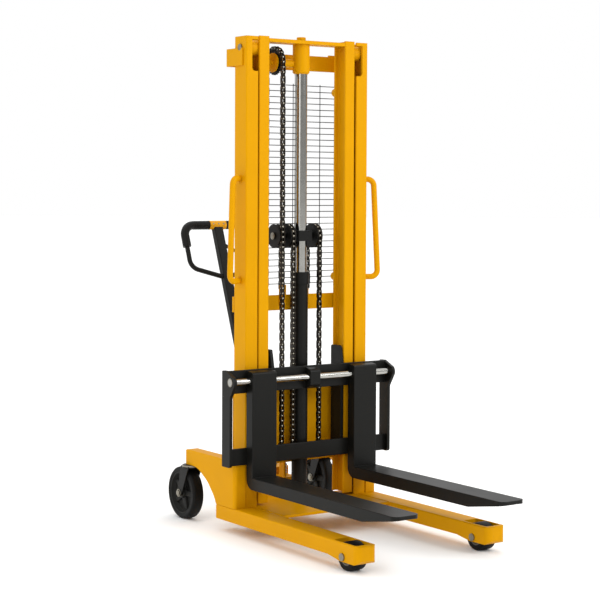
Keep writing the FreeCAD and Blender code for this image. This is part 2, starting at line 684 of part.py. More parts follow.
# ---- tiller ----
def tiller_arm():
    length = (grip_point - V(0, arm_foot[0], arm_foot[1])).Length
    half_w, half_d = arm_width / 2, arm_depth / 2

    def place(u, v):
        return on_tiller(u, length, v)
    outer = round_loop([(-half_w, -half_d, 3), (half_w, -half_d, 3), (half_w, half_d, 3), (-half_w, half_d, 3)],
                       place).extrude(arm_dir * (length - 10))
    void = round_loop([(-half_w + 4, -half_d + 4, 0), (half_w - 4, -half_d + 4, 0), (half_w - 4, half_d - 4, 0),
                       (-half_w + 4, half_d - 4, 0)], place).extrude(arm_dir * (length - 40))
    body = outer.cut(void)
    yoke = []
    foot = V(0, arm_foot[0], arm_foot[1])
    top_of_yoke = foot + arm_dir * 70
    for x in (-28.0, 20.0):
        outline = [(pivot_y - 16, pivot_z - 16, 15.5), (pivot_y + 20, pivot_z - 17, 30),
                   (foot.y + 14, foot.z - 6, 12), (top_of_yoke.y + 12, top_of_yoke.z, 8),
                   (top_of_yoke.y - 15, top_of_yoke.z + 10, 8), (foot.y - 46, foot.z + 12, 60),
                   (pivot_y - 10, pivot_z + 18, 15.5)]
        yoke.append(prism_x(outline, x, x + 8))
    roller_bar = bar_x(pump_roller, -21, 21, pump_y, pivot_z)
    heel = box(-21, 21, foot.y - 20, foot.y - 12, foot.z - 20, foot.z + 20)
    lever_stub = Part.makeCylinder(4, 9, on_tiller(0, lever_pin, -half_d - 8), arm_normal)
    body = fuse(body, roller_bar, heel, lever_stub, *yoke)
    collar = bar_x(collar_radius + 0.02, -60, 60, grip_centre[0], grip_centre[1])
    pin = bar_x(7 + fit, -40, 40, pivot_y, pivot_z)
    return body.cut(collar).cut(pin)


def loop_path(half_start):
    return [on_tiller(-half_start, 0), on_tiller(-loop_half_width, 0), on_tiller(-loop_half_width, loop_side),
            on_tiller(-12, loop_tail)]


def tiller_loop():
    left = bent_tube(loop_path(1.0), 44.0, loop_tube)
    right = mirrored(left)
    bridge = bar_x(loop_tube, -2, 2, grip_centre[0], grip_centre[1])
    tube = fuse(left, bridge, right)
    arm = round_loop([(-arm_width / 2, -30, 0), (arm_width / 2, -30, 0), (arm_width / 2, 30, 0),
                      (-arm_width / 2, 30, 0)], lambda u, v: on_tiller(u, 260, v)).extrude(arm_dir * 200)
    return tube.cut(arm)


def tiller_grips():
    path = [on_tiller(-collar_half - 0.1, 0), on_tiller(-loop_half_width, 0), on_tiller(-loop_half_width, grip_end)]
    left = bent_tube(path, 44.0, grip_radius)
    hole = bent_tube(loop_path(1.0), 44.0, loop_tube + 0.02)
    left = left.cut(hole)
    return group(left, mirrored(left))


def grip_collar():
    tube = bar_x(collar_radius, -collar_half, collar_half, grip_centre[0], grip_centre[1])
    return tube.cut(bar_x(loop_tube + 0.02, -50, 50, grip_centre[0], grip_centre[1]))


def release_lever():
    back = -arm_depth / 2 - 7.3
    x, down = lever_tip
    length = math.hypot(x, down - lever_pin)
    along = V(x, 0, 0) - arm_dir * (down - lever_pin)
    along.normalize()
    across = along.cross(arm_normal)
    start = on_tiller(0, lever_pin, back)
    blade = round_loop([(-12, -7, 6), (length - 34, -6, 0), (length, -8.5, 7), (length, 8.5, 7),
                        (length - 34, 6, 0), (-12, 7, 6)],
                       lambda u, v: start + along * u + across * v).extrude(arm_normal * 6)
    boss = Part.makeCylinder(11, 6, start, arm_normal)
    return fuse(blade, boss).cut(Part.makeCylinder(4 + fit, 8, start - arm_normal, arm_normal))


def nodes():
    """Every node's name and shape, body by body."""
    right_leg, right_wing, right_mast = leg(), wing(), outer_mast()
    yield "right_leg", right_leg
    yield "left_leg", mirrored(right_leg)
    yield "base_plate", base_plate()
    yield "right_wing", right_wing
    yield "left_wing", mirrored(right_wing)
    yield "right_outer_mast", right_mast
    yield "left_outer_mast", mirrored(right_mast)
    yield "upper_brace", upper_brace()
    yield "lower_crossbar", lower_crossbar()
    yield "rear_panel", rear_panel()
    yield "mesh_guard", mesh_guard()
    handle = side_handle()
    yield "right_side_handle", handle
    yield "left_side_handle", mirrored(handle)
    yield "cylinder_barrel", cylinder_barrel()
    yield "cylinder_gland", cylinder_gland()
    yield "pump_body", pump_body()
    yield "frame_axles", frame_axles()
    yield "chain_rears", chain_rears()

    inner = inner_mast()
    yield "right_inner_mast", inner
    yield "left_inner_mast", mirrored(inner)
    yield "mast_top_plate", top_plate()
    yield "lift_rod", lift_rod()
    yield "rod_sleeve", rod_sleeve()
    yield "rod_cap_nut", rod_cap_nut()
    yield "crosshead", crosshead()
    yield "sprocket_bracket", sprocket_bracket()
    yield "chain_fronts", chain_fronts()

    yield "right_chain_pulley", chain_wheel(pulley_x, cylinder_y, crosshead_z, pulley_radius,
                                            pulley_root, pulley_width, 9 + fit)
    yield "left_chain_pulley", chain_wheel(-pulley_x, cylinder_y, crosshead_z, pulley_radius,
                                           pulley_root, pulley_width, 9 + fit)
    yield "chain_idler", chain_wheel(third_chain_x, cylinder_y, crosshead_z, pulley_radius - 2,
                                     idler_root, pulley_width, 9 + fit)
    yield "top_sprocket", top_sprocket()
    guide = roller(small_roller, web_x1 + 3.2, inner_outer + 35.7, guide_roller_z, 10)
    yield "right_guide_roller", guide
    yield "left_guide_roller", mirrored(guide)
    mast_roller = roller(large_roller, outer_tip + 5, mast_half_width - outer_web - 3, mast_roller_z, 11)
    yield "right_mast_roller", mast_roller
    yield "left_mast_roller", mirrored(mast_roller)

    yield "top_rail", top_rail()
    yield "low_rail", low_rail()
    plate = side_plate()
    yield "right_side_plate", plate
    yield "left_side_plate", mirrored(plate)
    upright = roller_upright()
    yield "roller_uprights", group(upright, mirrored(upright))
    yield "fork_bar", bar_x(bar_radius, -side_outer - 1, side_outer + 1, bar_y, bar_z)
    for level, z in zip(("lower", "upper"), carriage_roller_z):
        wheel = roller(small_roller, inner_tip + 1, web_x0 - 2, z, 11)
        yield "right_%s_roller" % level, wheel
        yield "left_%s_roller" % level, mirrored(wheel)
    blade = fork()
    yield "right_fork", blade
    yield "left_fork", mirrored(blade)

    yoke, wheel, front_wheel = caster_yoke(), caster_wheel(), load_wheel()
    yield "right_caster_yoke", yoke
    yield "left_caster_yoke", mirrored(yoke)
    yield "right_caster_wheel", wheel
    yield "left_caster_wheel", mirrored(wheel)
    yield "right_load_wheel", front_wheel
    yield "left_load_wheel", mirrored(front_wheel)

    yield "tiller_arm", tiller_arm()
    yield "tiller_loop", tiller_loop()
    yield "tiller_grips", tiller_grips()
    yield "grip_collar", grip_collar()
    yield "release_lever", release_lever()
    yield "pump_plunger", pump_plunger()
    yield "pump_spring", pump_spring()


os.makedirs("parts", exist_ok=True)
for name, shape in nodes():
    placed = shape.copy()
    placed.translate(to_origin)
    placed.exportStep("parts/%s.step" % name)
    box_now = placed.BoundBox
    print("%-20s %2d solids %s vol %10.0f  x %.1f %.1f y %.1f %.1f z %.1f %.1f" % (
        name, len(placed.Solids), placed.isValid(), placed.Volume, box_now.XMin, box_now.XMax,
        box_now.YMin, box_now.YMax, box_now.ZMin, box_now.ZMax))
print("moved by", to_origin.y)
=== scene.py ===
"""Walkie stacker: finishes, roller chains, wheels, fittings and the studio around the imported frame."""

import json
import math

import bmesh
import bpy
from mathutils import Matrix, Vector


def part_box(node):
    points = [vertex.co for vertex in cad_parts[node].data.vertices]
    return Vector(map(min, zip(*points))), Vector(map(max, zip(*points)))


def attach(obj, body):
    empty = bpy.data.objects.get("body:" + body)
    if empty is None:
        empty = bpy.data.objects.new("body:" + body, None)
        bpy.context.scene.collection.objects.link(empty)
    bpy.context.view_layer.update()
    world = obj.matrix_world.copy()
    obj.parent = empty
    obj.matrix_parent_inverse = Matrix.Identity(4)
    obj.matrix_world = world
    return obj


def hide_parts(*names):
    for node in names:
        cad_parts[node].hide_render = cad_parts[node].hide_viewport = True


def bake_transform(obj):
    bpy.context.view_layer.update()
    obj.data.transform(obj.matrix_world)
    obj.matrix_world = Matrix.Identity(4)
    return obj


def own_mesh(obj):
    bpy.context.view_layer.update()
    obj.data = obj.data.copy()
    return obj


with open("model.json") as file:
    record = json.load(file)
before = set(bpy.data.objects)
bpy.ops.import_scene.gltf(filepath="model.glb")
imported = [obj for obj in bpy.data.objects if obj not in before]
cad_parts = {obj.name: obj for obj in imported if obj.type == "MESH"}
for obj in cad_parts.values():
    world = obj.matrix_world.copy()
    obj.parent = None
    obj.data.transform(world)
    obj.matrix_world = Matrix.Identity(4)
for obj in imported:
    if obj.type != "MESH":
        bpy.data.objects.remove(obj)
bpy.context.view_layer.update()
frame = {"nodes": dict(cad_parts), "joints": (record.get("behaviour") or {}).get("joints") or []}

bl_info = {
    "name": "Walkie stacker",
    "version": (1, 0, 0),
    "blender": (4, 5, 0),
    "location": "View3D > Sidebar > Stacker",
    "description": "Builds the looks of a two-stage hand stacker around its CAD frame",
    "category": "Object",
}

MM = 0.001
GAP = 0.0002                # a fitting's stand-off from its seat, or how far it sinks into it
CHAMFER = 0.0006            # broken edge of turned and hexagonal fittings
# a bolt's parts, as shares of its size
WASHER_TALL, WASHER_WIDE, HEAD_TALL, HEAD_WIDE = 0.2, 1.05, 0.64, 0.98
# a weld's ripples, as shares of the bead's radius
RIPPLE_STEP, RING_RIPPLE_STEP = 1.1, 1.2
TREAD_BED = 0.80            # where a caster's tread meets its centre, of the wheel's radius
FRAME_BOLT, BRACE_BOLT, TANK_BOLT = 0.008, 0.007, 0.006
FRAME_BOLT_X, BRACE_BOLT_X = 0.250, 0.215
TANK_TOP = 0.192            # top of the pump's oil tank above the floor
FLOOR_RADIUS = 60.0
X_AXIS, Y_AXIS, Z_AXIS = Vector((1, 0, 0)), Vector((0, 1, 0)), Vector((0, 0, 1))


# ---------------------------------------------------------------- colours and sizes

def linear(hex_colour):
    """An sRGB hex colour as linear red, green and blue."""
    parts = [int(hex_colour[i:i + 2], 16) / 255 for i in (1, 3, 5)]
    return [p / 12.92 if p <= 0.04045 else ((p + 0.055) / 1.055) ** 2.4 for p in parts]


def colour(label, hex_colour, text):
    """A colour the user may change, given as sRGB hex."""
    return bpy.props.FloatVectorProperty(name=label, description=text, subtype="COLOR", size=3,
                                         min=0.0, max=1.0, default=linear(hex_colour))


def length(label, millimetres, text):
    """A length the user may change, given in millimetres."""
    return bpy.props.FloatProperty(name=label, description=text, subtype="DISTANCE", unit="LENGTH",
                                   min=0.0, default=millimetres * MM)


class StackerColours(bpy.types.PropertyGroup):
    """Colours of the stacker's finishes."""
    frame_paint: colour("Frame paint", "#D29400", "Powder coat on the mast, base and handles")
    carriage_paint: colour("Carriage paint", "#141412", "Powder coat on the carriage, forks and tiller")
    chrome: colour("Hard chrome", "#A9A8A3", "Plating on the lift rod and the fork bar")
    zinc: colour("Zinc plating", "#8C877B", "Bolts, nuts, pins and axles")
    turned: colour("Turned steel", "#6E6C66", "Mast rollers and the spring")
    chain_steel: colour("Chain steel", "#2B261F", "Oiled plates of the roller chains")
    pin_steel: colour("Pin steel", "#8E897D", "Pins and rollers, polished by running")
    tread: colour("Wheel tread", "#0E0E0D", "Cast polyurethane of the wheels")
    hub: colour("Wheel centre", "#1F1F1D", "Cast iron wheel centres")
    wire: colour("Guard wire", "#0C0B0A", "Welded wire of the mast guard")
    grip: colour("Grip", "#10100F", "Dipped vinyl of the hand grips")
    floor: colour("Floor", "#FBFBFA", "Studio floor")


class StackerSizes(bpy.types.PropertyGroup):
    """Sizes of what is built around the frame."""
    pitch: length("Chain pitch", 19.05, "Pin to pin")
    plate_height: length("Chain plate height", 14.6, "Across a link plate")
    plate: length("Chain plate", 2.0, "Thickness of a link plate")
    inner_width: length("Inner width", 6.8, "Between the inner plates")
    pin_radius: length("Chain pin radius", 2.7, "Radius of a riveted pin")
    roller_radius: length("Chain roller radius", 5.6, "Radius of a chain roller")
    pulley_pitch: length("Pulley pitch radius", 40, "Chain's centre line on the crosshead pulleys")
    sprocket_pitch: length("Sprocket pitch radius", 54, "Chain's centre line on the top sprocket")
    stud_top: length("Anchor stud", 77, "Lower crossbar's underside to the top of its chain studs")
    third_anchor: length("Third anchor", 30, "Lower crossbar's underside to the third chain's anchor")
    bolt: length("Bolt size", 10, "Thread of the general bolts")
    bead: length("Weld bead", 3.2, "Half the width of a weld bead")
    rib: length("Grip rib", 0.8, "Height of the ribs on the hand grips")
    wire: length("Spring wire", 1.9, "Radius of the pump spring's wire")


class StackerStage(bpy.types.PropertyGroup):
    """Camera and light."""
    eye: bpy.props.FloatVectorProperty(name="Camera", description="Place of the camera", subtype="TRANSLATION",
                                       unit="LENGTH", default=(-3.49426, -4.91091, 1.27994))
    yaw: bpy.props.FloatProperty(name="Yaw", description="Turn from +Y towards +X", subtype="ANGLE",
                                 default=math.radians(34.523))
    pitch: bpy.props.FloatProperty(name="Pitch", description="Tilt above level", subtype="ANGLE",
                                   default=math.radians(-2.2287))
    roll: bpy.props.FloatProperty(name="Roll", description="Roll of the camera", subtype="ANGLE",
                                  default=math.radians(0.265))
    lens: bpy.props.FloatProperty(name="Lens", description="Focal length in millimetres", default=98.13, min=1.0)
    shift: bpy.props.FloatProperty(name="Shift", description="Rise of the lens", default=-0.08445)
    light: bpy.props.FloatProperty(name="Key light", description="Power of the key light in watts", default=120.0,
                                   min=0.0)
    room: bpy.props.FloatProperty(name="Room", description="Brightness of the room in front, of the wall's",
                                  default=0.45, min=0.0)
    ceiling: bpy.props.FloatProperty(name="Ceiling", description="Brightness of the ceiling, of the wall's",
                                     default=1.3, min=0.0)
    sky: bpy.props.FloatProperty(name="Sky", description="Strength of the even studio light", default=1.0, min=0.0)


def sizes():
    return bpy.context.scene.stacker_sizes


def colours():
    return bpy.context.scene.stacker_colours


# ---------------------------------------------------------------- mesh helpers

def centre(node_name):
    """The middle of a CAD node's box."""
    low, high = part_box(node_name)
    return (low + high) / 2


def joint(name):
    """A joint of the frame by name."""
    return next(j for j in frame["joints"] if j["name"] == name)


def frame_matrix(origin, along, up):
    """Local Z runs along, local Y leans towards up, and the origin goes to origin."""
    z = Vector(along).normalized()
    x = Vector(up).cross(z).normalized()
    y = z.cross(x)
    return Matrix.Translation(Vector(origin)) @ Matrix((x, y, z)).transposed().to_4x4()


def any_normal_to(axis):
    return Z_AXIS if abs(Vector(axis).normalized().z) < 0.9 else Y_AXIS


def join(bm, part, place=None, material=0):
    """Adds a finished shape to bm, at its place and with its material, and frees it."""
    if place is not None:
        bmesh.ops.transform(part, matrix=place, verts=part.verts)
    for face in part.faces:
        face.material_index = material
    carrier = bpy.data.meshes.new("carrier")
    part.to_mesh(carrier)
    part.free()
    bm.from_mesh(carrier)
    bpy.data.meshes.remove(carrier)


def soften(part, edges, offset, segments=2):
    """Rounds the edges of a shape."""
    bmesh.ops.bevel(part, geom=edges, offset=offset, segments=segments, profile=0.5, affect="EDGES", material=-1)


def turned(bm, profile, origin, axis, steps=40, material=0):
    """A closed ring: profile is a loop of (distance along axis, radius) points, in metres."""
    part = bmesh.new()
    loop = [part.verts.new((0.0, radius, along)) for along, radius in profile]
    edges = [part.edges.new((loop[i], loop[(i + 1) % len(loop)])) for i in range(len(loop))]
    bmesh.ops.spin(part, geom=loop + edges, cent=(0, 0, 0), axis=(0, 0, 1), angle=2 * math.pi, steps=steps,
                   use_merge=True)
    join(bm, part, frame_matrix(origin, axis, any_normal_to(axis)), material)


def stem(bm, start, end, radius, segments=16, end_radius=None, material=0, bevel=0.0):
    """A closed cylinder, cone or hexagon from start to end."""
    start, end = Vector(start), Vector(end)
    part = bmesh.new()
    bmesh.ops.create_cone(part, cap_ends=True, segments=segments, radius1=radius,
                          radius2=radius if end_radius is None else end_radius, depth=(end - start).length)
    if bevel:
        caps = [f for f in part.faces if len(f.verts) == segments and abs(f.normal.z) > 0.9]
        soften(part, list({e for f in caps for e in f.edges}), bevel)
    join(bm, part, frame_matrix((start + end) / 2, end - start, any_normal_to(end - start)), material)


def bolt(bm, seat, axis, size=None, washer=True):
    """A hexagon head with its washer, standing on seat along axis."""
    size = size or sizes().bolt
    seat, axis = Vector(seat), Vector(axis).normalized()
    base = seat
    if washer:
        base = seat + axis * size * WASHER_TALL
        stem(bm, seat - axis * GAP, base, size * WASHER_WIDE, 24, bevel=size * 0.05)
    stem(bm, base, base + axis * size * HEAD_TALL, size * HEAD_WIDE, 6, bevel=size * 0.06)


def bead(bm, start, end, radius):
    """A row of overlapping ripples, as a hand weld leaves."""
    start, end = Vector(start), Vector(end)
    count = max(2, int((end - start).length / (radius * RIPPLE_STEP)))
    for i in range(count + 1):
        point = start.lerp(end, i / count)
        bmesh.ops.create_icosphere(bm, subdivisions=1, radius=radius, matrix=Matrix.Translation(point))


def bead_ring(bm, middle, axis, ring_radius, radius):
    """The same ripples round a tube or a cylinder's foot."""
    place = frame_matrix(middle, axis, any_normal_to(axis))
    count = int(2 * math.pi * ring_radius / (radius * RING_RIPPLE_STEP))
    for i in range(count):
        a = 2 * math.pi * i / count
        point = place @ Vector((ring_radius * math.cos(a), ring_radius * math.sin(a), 0))
        bmesh.ops.create_icosphere(bm, subdivisions=1, radius=radius, matrix=Matrix.Translation(point))


def finish_piece(name, bm, materials, body, replaces=(), smooth=40.0, fix_normals=True):
    """Makes the object, smooths it where its faces meet gently, and ties it to its body."""
    if fix_normals:
        bmesh.ops.recalc_face_normals(bm, faces=bm.faces)
    mesh = bpy.data.meshes.new(name)
    bm.to_mesh(mesh)
    bm.free()
    for material in materials:
        mesh.materials.append(material)
    mesh.shade_smooth()
    mesh.set_sharp_from_angle(angle=math.radians(smooth))
    piece = bpy.data.objects.new(name, mesh)
    bpy.context.scene.collection.objects.link(piece)
    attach(piece, body)
    if replaces:
        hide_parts(*replaces)
    return piece


# ---------------------------------------------------------------- materials

def add(tree, kind, settings=None, values=None, links=None):
    """Adds a node: settings are its own attributes, values its inputs, links the sockets fed into it."""
    made = tree.nodes.new(kind)
    for key, value in (settings or {}).items():
        setattr(made, key, value)
    for key, value in (values or {}).items():
        made.inputs[key].default_value = value
    for key, socket in (links or {}).items():
        tree.links.new(socket, made.inputs[key])
    return made


def per_metre(millimetres):
    """A noise scale whose features are that many millimetres across."""
    return 1000.0 / millimetres


def rgba(values, factor=1.0):
    return [min(1.0, v * factor) for v in values] + [1.0]


def new_material(name):
    """An emptied material with its surface shader, and the place that its patterns read."""
    material = bpy.data.materials.get(name) or bpy.data.materials.new(name)
    material.use_nodes = True
    material.node_tree.nodes.clear()
    tree = material.node_tree
    output = add(tree, "ShaderNodeOutputMaterial")
    surface = add(tree, "ShaderNodeBsdfPrincipled")
    tree.links.new(surface.outputs[0], output.inputs["Surface"])
    place = add(tree, "ShaderNodeTexCoord")
    return material, tree, surface, place.outputs["Object"]


def powder_coat(name, base, roughness, specular, edge_round, dust):
    """Powder-coated steel: a thick even skin, faint orange peel, dust low down, and soft edges."""
    material, tree, surface, where = new_material(name)
    # the film's thickness varies over a hand's breadth, so the colour drifts a little
    drift = add(tree, "ShaderNodeTexNoise", values={"Scale": per_metre(140), "Detail": 3.0}, links={"Vector": where})
    tone = add(tree, "ShaderNodeMix", {"data_type": "RGBA"}, {"A": rgba(base, 0.93), "B": rgba(base, 1.06)},
               {"Factor": drift.outputs["Fac"]})
    # specks of grime, 6 mm across, denser near the floor where wheels throw them up
    specks = add(tree, "ShaderNodeTexNoise", values={"Scale": per_metre(6), "Detail": 4.0, "Roughness": 0.7},
                 links={"Vector": where})
    speck_mask = add(tree, "ShaderNodeMapRange", {"interpolation_type": "SMOOTHSTEP"},
                     {"From Min": 0.60, "From Max": 0.74}, {"Value": specks.outputs["Fac"]})
    split = add(tree, "ShaderNodeSeparateXYZ", links={"Vector": where})
    low = add(tree, "ShaderNodeMapRange", {}, {"From Min": 0.0, "From Max": 0.25, "To Min": dust, "To Max": dust * 0.2},
              {"Value": split.outputs["Z"]})
    grime = add(tree, "ShaderNodeMath", {"operation": "MULTIPLY"},
                links={0: speck_mask.outputs["Result"], 1: low.outputs["Result"]})
    dirty = add(tree, "ShaderNodeMix", {"data_type": "RGBA"}, {"B": rgba(linear("#5B5246"))},
                {"Factor": grime.outputs[0], "A": tone.outputs["Result"]})
    tree.links.new(dirty.outputs["Result"], surface.inputs["Base Color"])
    # gloss: 0.35 to 0.5 is a semi-gloss polyester coat; it drifts with the same film
    gloss = add(tree, "ShaderNodeMapRange", {}, {"To Min": roughness - 0.05, "To Max": roughness + 0.06},
                {"Value": drift.outputs["Fac"]})
    tree.links.new(gloss.outputs["Result"], surface.inputs["Roughness"])
    # orange peel is about 2 mm across on the real skin; drawn at 4 mm so that it shows
    peel = add(tree, "ShaderNodeTexNoise", values={"Scale": per_metre(4), "Detail": 2.0}, links={"Vector": where})
    corners = add(tree, "ShaderNodeBevel", {"samples": 4}, {"Radius": edge_round})
    bump = add(tree, "ShaderNodeBump", values={"Strength": 0.10, "Distance": 0.0005},
               links={"Height": peel.outputs["Fac"], "Normal": corners.outputs["Normal"]})
    tree.links.new(bump.outputs["Normal"], surface.inputs["Normal"])
    surface.inputs["IOR"].default_value = 1.5
    surface.inputs["Specular IOR Level"].default_value = specular
    return material


def bare_metal(name, base, roughness, grain_mm, stretch, strength):
    """Bare or plated steel: full metal, with tool marks drawn out along one direction."""
    material, tree, surface, where = new_material(name)
    surface.inputs["Metallic"].default_value = 1.0
    marks_place = add(tree, "ShaderNodeMapping", values={"Scale": stretch}, links={"Vector": where})
    marks = add(tree, "ShaderNodeTexNoise", values={"Scale": per_metre(grain_mm), "Detail": 4.0},
                links={"Vector": marks_place.outputs["Vector"]})
    blotch = add(tree, "ShaderNodeTexNoise", values={"Scale": per_metre(25), "Detail": 2.0}, links={"Vector": where})
    tone = add(tree, "ShaderNodeMix", {"data_type": "RGBA"}, {"A": rgba(base, 0.82), "B": rgba(base, 1.1)},
               {"Factor": blotch.outputs["Fac"]})
    tree.links.new(tone.outputs["Result"], surface.inputs["Base Color"])
    gloss = add(tree, "ShaderNodeMapRange", {}, {"To Min": roughness * 0.7, "To Max": roughness * 1.4},
                {"Value": marks.outputs["Fac"]})
    tree.links.new(gloss.outputs["Result"], surface.inputs["Roughness"])
    bump = add(tree, "ShaderNodeBump", values={"Strength": strength, "Distance": 0.0004},
               links={"Height": marks.outputs["Fac"]})
    tree.links.new(bump.outputs["Normal"], surface.inputs["Normal"])
    return material


def oiled_chain(name, base):
    """Blued chain plate under oil and grit: dark metal with dull and wet patches."""
    material, tree, surface, where = new_material(name)
    surface.inputs["Metallic"].default_value = 0.85
    grit = add(tree, "ShaderNodeTexNoise", values={"Scale": per_metre(5), "Detail": 4.0}, links={"Vector": where})
    tone = add(tree, "ShaderNodeMix", {"data_type": "RGBA"}, {"A": rgba(base, 0.45), "B": rgba(base, 1.5)},
               {"Factor": grit.outputs["Fac"]})
    tree.links.new(tone.outputs["Result"], surface.inputs["Base Color"])
    gloss = add(tree, "ShaderNodeMapRange", {}, {"To Min": 0.22, "To Max": 0.55}, {"Value": grit.outputs["Fac"]})
    tree.links.new(gloss.outputs["Result"], surface.inputs["Roughness"])
    return material


def moulded(name, base, roughness, specular, grain_mm, strength):
    """Moulded, cast or dipped stuff: one colour, fine grain from the mould, scuffs that dull it."""
    material, tree, surface, where = new_material(name)
    scuff = add(tree, "ShaderNodeTexNoise", values={"Scale": per_metre(18), "Detail": 5.0, "Roughness": 0.65},
                links={"Vector": where})
    tone = add(tree, "ShaderNodeMix", {"data_type": "RGBA"}, {"A": rgba(base, 0.75), "B": rgba(base, 1.35)},
               {"Factor": scuff.outputs["Fac"]})
    tree.links.new(tone.outputs["Result"], surface.inputs["Base Color"])
    gloss = add(tree, "ShaderNodeMapRange", {}, {"To Min": roughness - 0.08, "To Max": roughness + 0.1},
                {"Value": scuff.outputs["Fac"]})
    tree.links.new(gloss.outputs["Result"], surface.inputs["Roughness"])
    grain = add(tree, "ShaderNodeTexNoise", values={"Scale": per_metre(grain_mm), "Detail": 2.0},
                links={"Vector": where})
    bump = add(tree, "ShaderNodeBump", values={"Strength": strength, "Distance": 0.0004},
               links={"Height": grain.outputs["Fac"]})
    tree.links.new(bump.outputs["Normal"], surface.inputs["Normal"])
    surface.inputs["IOR"].default_value = 1.5
    surface.inputs["Specular IOR Level"].default_value = specular
    return material


def finishes():
    """Every finish by name, made once."""
    c = colours()
    made = {m.name: m for m in bpy.data.materials if m.get("stacker_finish")}
    if made:
        return made
    made = [
        # polyester powder coat, semi-gloss: even colour and soft broad highlights
        powder_coat("yellow_powder_coat", c.frame_paint, 0.44, 0.05, 0.0022, 0.30),
        # the same coat in charcoal: near black, with a grey sheen at low angles
        powder_coat("charcoal_powder_coat", c.carriage_paint, 0.40, 0.14, 0.0018, 0.22),
        # hard chrome, ground round: mirror bright, fine rings round the rod
        bare_metal("hard_chrome", c.chrome, 0.14, 3, (1.0, 1.0, 6.0), 0.03),
        # zinc plating, passivated: grey with a satin sheen and blotches
        bare_metal("zinc_plating", c.zinc, 0.34, 4, (1.0, 1.0, 1.0), 0.08),
        # turned steel, oiled: lathe marks round the X axis
        bare_metal("turned_steel", c.turned, 0.30, 2, (6.0, 1.0, 1.0), 0.10),
        # chain plate, blued and oiled: dark, dull where grit sticks
        oiled_chain("oiled_chain_steel", c.chain_steel),
        # chain pins and rollers: polished by running
        bare_metal("polished_pin_steel", c.pin_steel, 0.25, 3, (4.0, 1.0, 1.0), 0.05),
        # cast polyurethane: black, slightly waxy, scuffed
        moulded("cast_polyurethane", c.tread, 0.50, 0.12, 3, 0.12),
        # cast iron centres under dark primer: sand-cast grain, drawn at 3 mm so that it shows
        moulded("primed_cast_iron", c.hub, 0.55, 0.15, 3, 0.35),
        # welded wire, black dipped: dark, with hardly any sheen
        moulded("black_dipped_wire", c.wire, 0.50, 0.15, 4, 0.05),
        # dipped vinyl: near black, soft sheen, slightly pebbled
        moulded("dipped_vinyl", c.grip, 0.42, 0.16, 2.5, 0.15),
        # moulded ABS collar in the frame's colour
        moulded("yellow_abs", c.frame_paint, 0.42, 0.2, 3, 0.06),
    ]
    for material in made:
        material["stacker_finish"] = True
    return {m.name: m for m in made}


NODE_FINISH = {
    "yellow_powder_coat": ["left_leg", "right_leg", "base_plate", "left_wing", "right_wing", "left_outer_mast",
                           "right_outer_mast", "upper_brace", "lower_crossbar", "rear_panel", "left_side_handle",
                           "right_side_handle", "pump_body", "left_inner_mast", "right_inner_mast", "mast_top_plate",
                           "rod_sleeve", "sprocket_bracket", "left_guide_roller", "right_guide_roller",
                           "rod_cap_nut"],
    "charcoal_powder_coat": ["top_rail", "low_rail", "left_side_plate", "right_side_plate", "roller_uprights",
                             "left_fork", "right_fork", "tiller_arm", "tiller_loop", "crosshead", "release_lever",
                             "left_chain_pulley", "right_chain_pulley", "chain_idler", "cylinder_barrel",
                             "cylinder_gland", "left_caster_yoke", "right_caster_yoke", "top_sprocket"],
    "hard_chrome": ["lift_rod", "fork_bar", "pump_plunger"],
    "zinc_plating": ["frame_axles"],
    "turned_steel": ["left_mast_roller", "right_mast_roller", "left_lower_roller", "right_lower_roller",
                     "left_upper_roller", "right_upper_roller"],
    "black_dipped_wire": ["mesh_guard"],
    "dipped_vinyl": ["tiller_grips"],
    "yellow_abs": ["grip_collar"],
}


class STACKER_OT_finishes(bpy.types.Operator):
    """Gives every CAD node that shows its finish"""
    bl_idname = "stacker.finishes"
    bl_label = "Finishes"

    def execute(self, context):
        made = finishes()
        for finish, names in NODE_FINISH.items():
            for name in names:
                data = frame["nodes"][name].data
                data.materials.clear()
                data.materials.append(made[finish])
        return {"FINISHED"}


# ---------------------------------------------------------------- chains

def link_mesh(outer, span):
    """One link along +Y from pin to pin, its pins along X: plates, and a roller round the first pin."""
    s = sizes()
    bm = bmesh.new()
    half_inner = s.inner_width / 2
    offset = half_inner + (s.plate * 1.5 + GAP if outer else s.plate / 2)
    for side in (-1, 1):
        made = bmesh.ops.create_circle(bm, cap_ends=True, segments=14, radius=s.plate_height / 2)
        for v in made["verts"]:
            if v.co.y > 1e-6:
                v.co.y += span
        face = list({f for v in made["verts"] for f in v.link_faces})
        bmesh.ops.translate(bm, verts=made["verts"], vec=(0, 0, side * offset - s.plate / 2))
        grown = bmesh.ops.extrude_face_region(bm, geom=face)
        top = [g for g in grown["geom"] if isinstance(g, bmesh.types.BMVert)]
        bmesh.ops.translate(bm, verts=top, vec=(0, 0, s.plate))
    bmesh.ops.transform(bm, matrix=Matrix.Rotation(math.radians(90), 4, "Y"), verts=bm.verts)
    # an outer link carries the riveted pins, an inner one the rollers
    rivet = 0.0006
    reach, radius, sides = ((half_inner + 2 * s.plate + rivet, s.pin_radius, 8) if outer
                            else (half_inner, s.roller_radius, 10))
    for at in (0.0, span):
        stem(bm, (-reach, at, 0), (reach, at, 0), radius, sides, material=1)
    bmesh.ops.recalc_face_normals(bm, faces=bm.faces)
    mesh = bpy.data.meshes.new("link")
    bm.to_mesh(mesh)
    bm.free()
    return mesh


